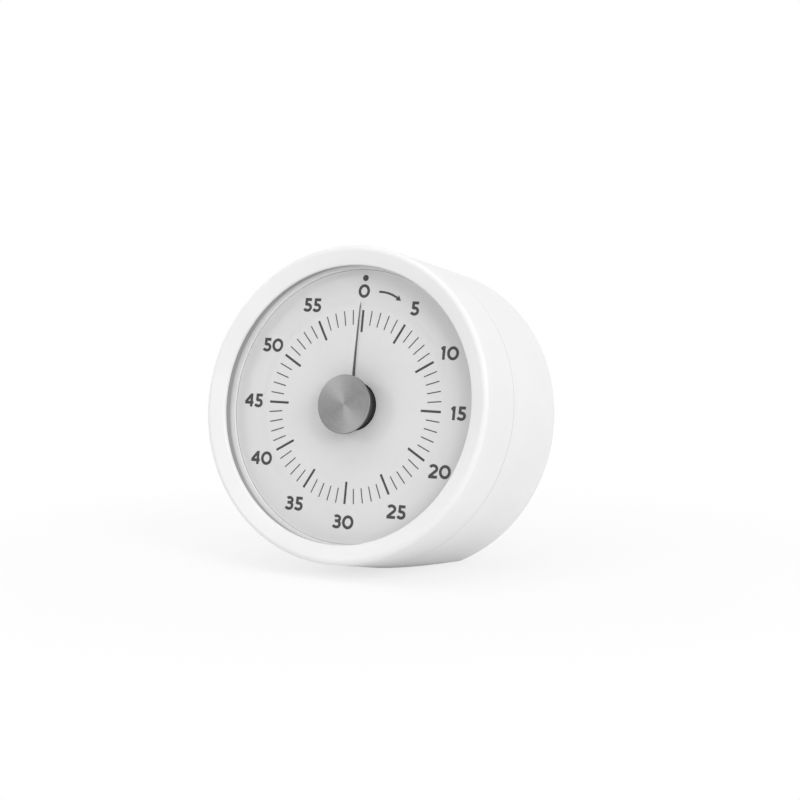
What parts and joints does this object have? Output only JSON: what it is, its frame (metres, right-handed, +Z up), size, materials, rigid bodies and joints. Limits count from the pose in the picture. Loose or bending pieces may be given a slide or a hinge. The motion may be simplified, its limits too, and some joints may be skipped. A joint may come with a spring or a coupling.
{
  "type": "visual timer",
  "caption": "Round visual timer leaning back on a flat foot, with a numbered dial, a slit for a coloured disc, a turning knob and a wind-up bell movement inside.",
  "frame": {"origin": "middle of the flat foot that the timer stands on", "axes": "+Z up, +X to the right of someone facing the dial, -Y towards that person"},
  "size_m": [0.08, 0.0555, 0.0823],
  "materials": {
    "case_plastic": "satin white moulded plastic",
    "dial_plastic": "matt pale grey printed sheet",
    "disc_film": "matt blue film",
    "cap_metal": "circular brushed",
    "knob_plastic": "matt dark moulded plastic",
    "movement_brass": "stamped",
    "movement_steel": "turned",
    "wheel_plastic": "moulded acetal",
    "spring_steel": "blued strip",
    "bell_steel": "plated"
  },
  "bodies": {
    "case": {"front_shell": "case_plastic", "rear_shell": "case_plastic", "case_screws": "movement_steel", "dial_plate": "dial_plastic", "dial_ring": "case_plastic", "front_plate": "movement_brass", "back_plate": "movement_brass", "pillars": "movement_steel", "pillar_nuts": "movement_steel", "movement_screws": "movement_steel", "mainspring": "spring_steel", "spring_post": "movement_steel", "hammer_stud": "movement_steel", "bell": "bell_steel", "bell_post": "movement_steel", "bell_nut": "movement_steel"},
    "knob": {"knob_cap": "cap_metal", "knob_body": "knob_plastic", "main_arbor": "movement_steel", "retaining_clip": "movement_steel", "clutch_washer": "movement_steel", "spring_collet": "movement_steel", "trip_cam": "movement_steel"},
    "disc": {"colour_disc": "disc_film", "disc_hub": "knob_plastic"},
    "main_gear": {"main_wheel": "movement_brass"},
    "second_gear": {"second_wheel": "movement_brass", "second_pinion": "movement_steel"},
    "third_gear": {"third_wheel": "wheel_plastic", "third_pinion": "movement_steel"},
    "escape_gear": {"escape_wheel": "wheel_plastic", "escape_pinion": "movement_steel"},
    "balance": {"balance_wheel": "movement_brass", "balance_arbor": "movement_steel", "pallet_lever": "movement_steel"},
    "hammer": {"hammer_arm": "movement_steel", "hammer_head": "movement_steel"}
  },
  "joints": [
    {"name": "knob_turn", "type": "hinge", "parent": "case", "child": "knob", "pos_m": [0, -0.01696, 0.04216], "axis": [0, 0.9803, -0.1977], "range_deg": [0, 360], "deforming": ["mainspring"]},
    {"name": "disc_rise", "type": "slide", "parent": "knob", "child": "disc", "axis": [0, -0.9803, 0.1977], "range_m": [0, 0.001]},
    {"name": "second_turn", "type": "hinge", "parent": "case", "child": "second_gear", "pos_m": [0.0205, -0.01696, 0.04216], "axis": [0, 0.9803, -0.1977], "continuous": true},
    {"name": "main_turn", "type": "hinge", "parent": "case", "child": "main_gear", "pos_m": [0, -0.01696, 0.04216], "axis": [0, 0.9803, -0.1977], "continuous": true},
    {"name": "third_turn", "type": "hinge", "parent": "case", "child": "third_gear", "pos_m": [0.01799, -0.01501, 0.0518], "axis": [0, 0.9803, -0.1977], "continuous": true},
    {"name": "escape_turn", "type": "hinge", "parent": "case", "child": "escape_gear", "pos_m": [0.01107, -0.01355, 0.05908], "axis": [0, 0.9803, -0.1977], "continuous": true},
    {"name": "balance_swing", "type": "hinge", "parent": "case", "child": "balance", "pos_m": [0.00511, -0.01303, 0.06162], "axis": [0, 0.9803, -0.1977], "range_deg": [-8, 8]},
    {"name": "hammer_lift", "type": "hinge", "parent": "case", "child": "hammer", "pos_m": [0.0215, -0.01588, 0.04753], "axis": [0, -0.9803, 0.1977], "range_deg": [0, 8]}
  ],
  "couplings": [
    {"joint": "knob_turn", "follows": "disc_rise", "rad_per_m": 6283.2},
    {"joint": "main_turn", "follows": "second_turn", "ratio": -0.13889},
    {"joint": "third_turn", "follows": "second_turn", "ratio": -4.8},
    {"joint": "escape_turn", "follows": "second_turn", "ratio": 23.04}
  ]
}
